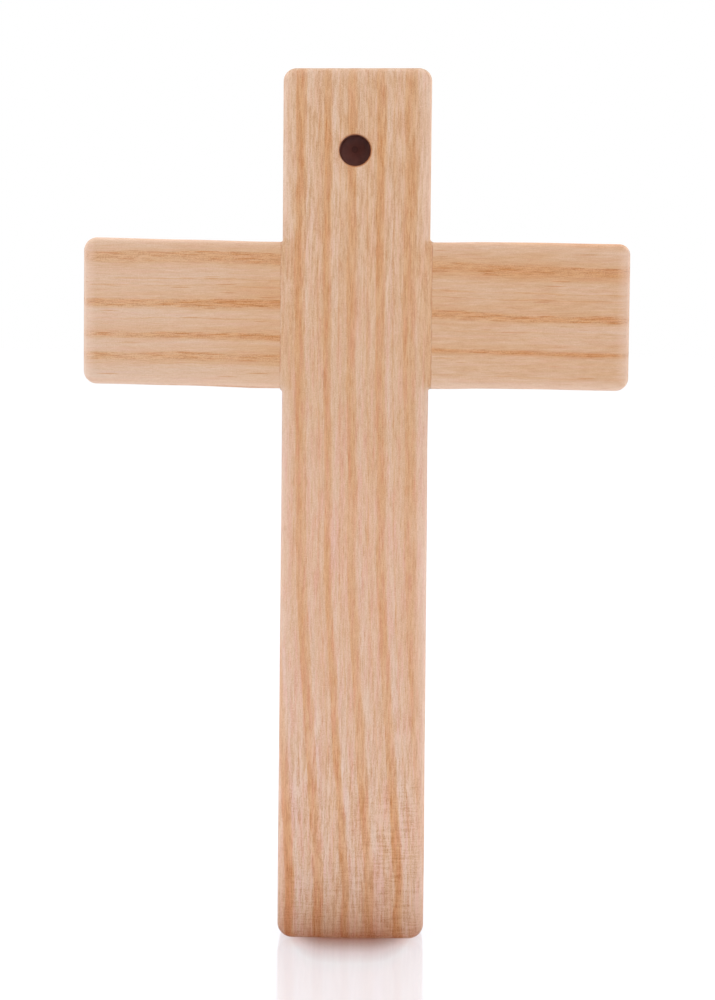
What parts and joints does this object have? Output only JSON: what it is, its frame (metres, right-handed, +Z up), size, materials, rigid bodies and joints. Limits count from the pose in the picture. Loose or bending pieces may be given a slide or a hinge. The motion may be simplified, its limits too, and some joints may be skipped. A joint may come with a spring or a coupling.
{
  "type": "wooden cross",
  "caption": "Plain wooden Latin cross for a wall, an upright and a crossbar joined by a flush cross lap, with rounded corners, softened edges and a blind hanging hole near the top.",
  "frame": {"origin": "middle of the foot's end, half way through the thickness", "axes": "+Z up along the upright, +X to the right as the face with the hanging hole is seen, +Y away from that face"},
  "size_m": [0.1244, 0.018, 0.2],
  "materials": {
    "upright_wood": "pale ash, sanded smooth, matt, grain along the upright",
    "crossbar_wood": "pale ash, sanded smooth, matt, grain along the crossbar"
  },
  "bodies": {
    "root": {"upright": "upright_wood", "crossbar": "crossbar_wood"}
  },
  "joints": []
}
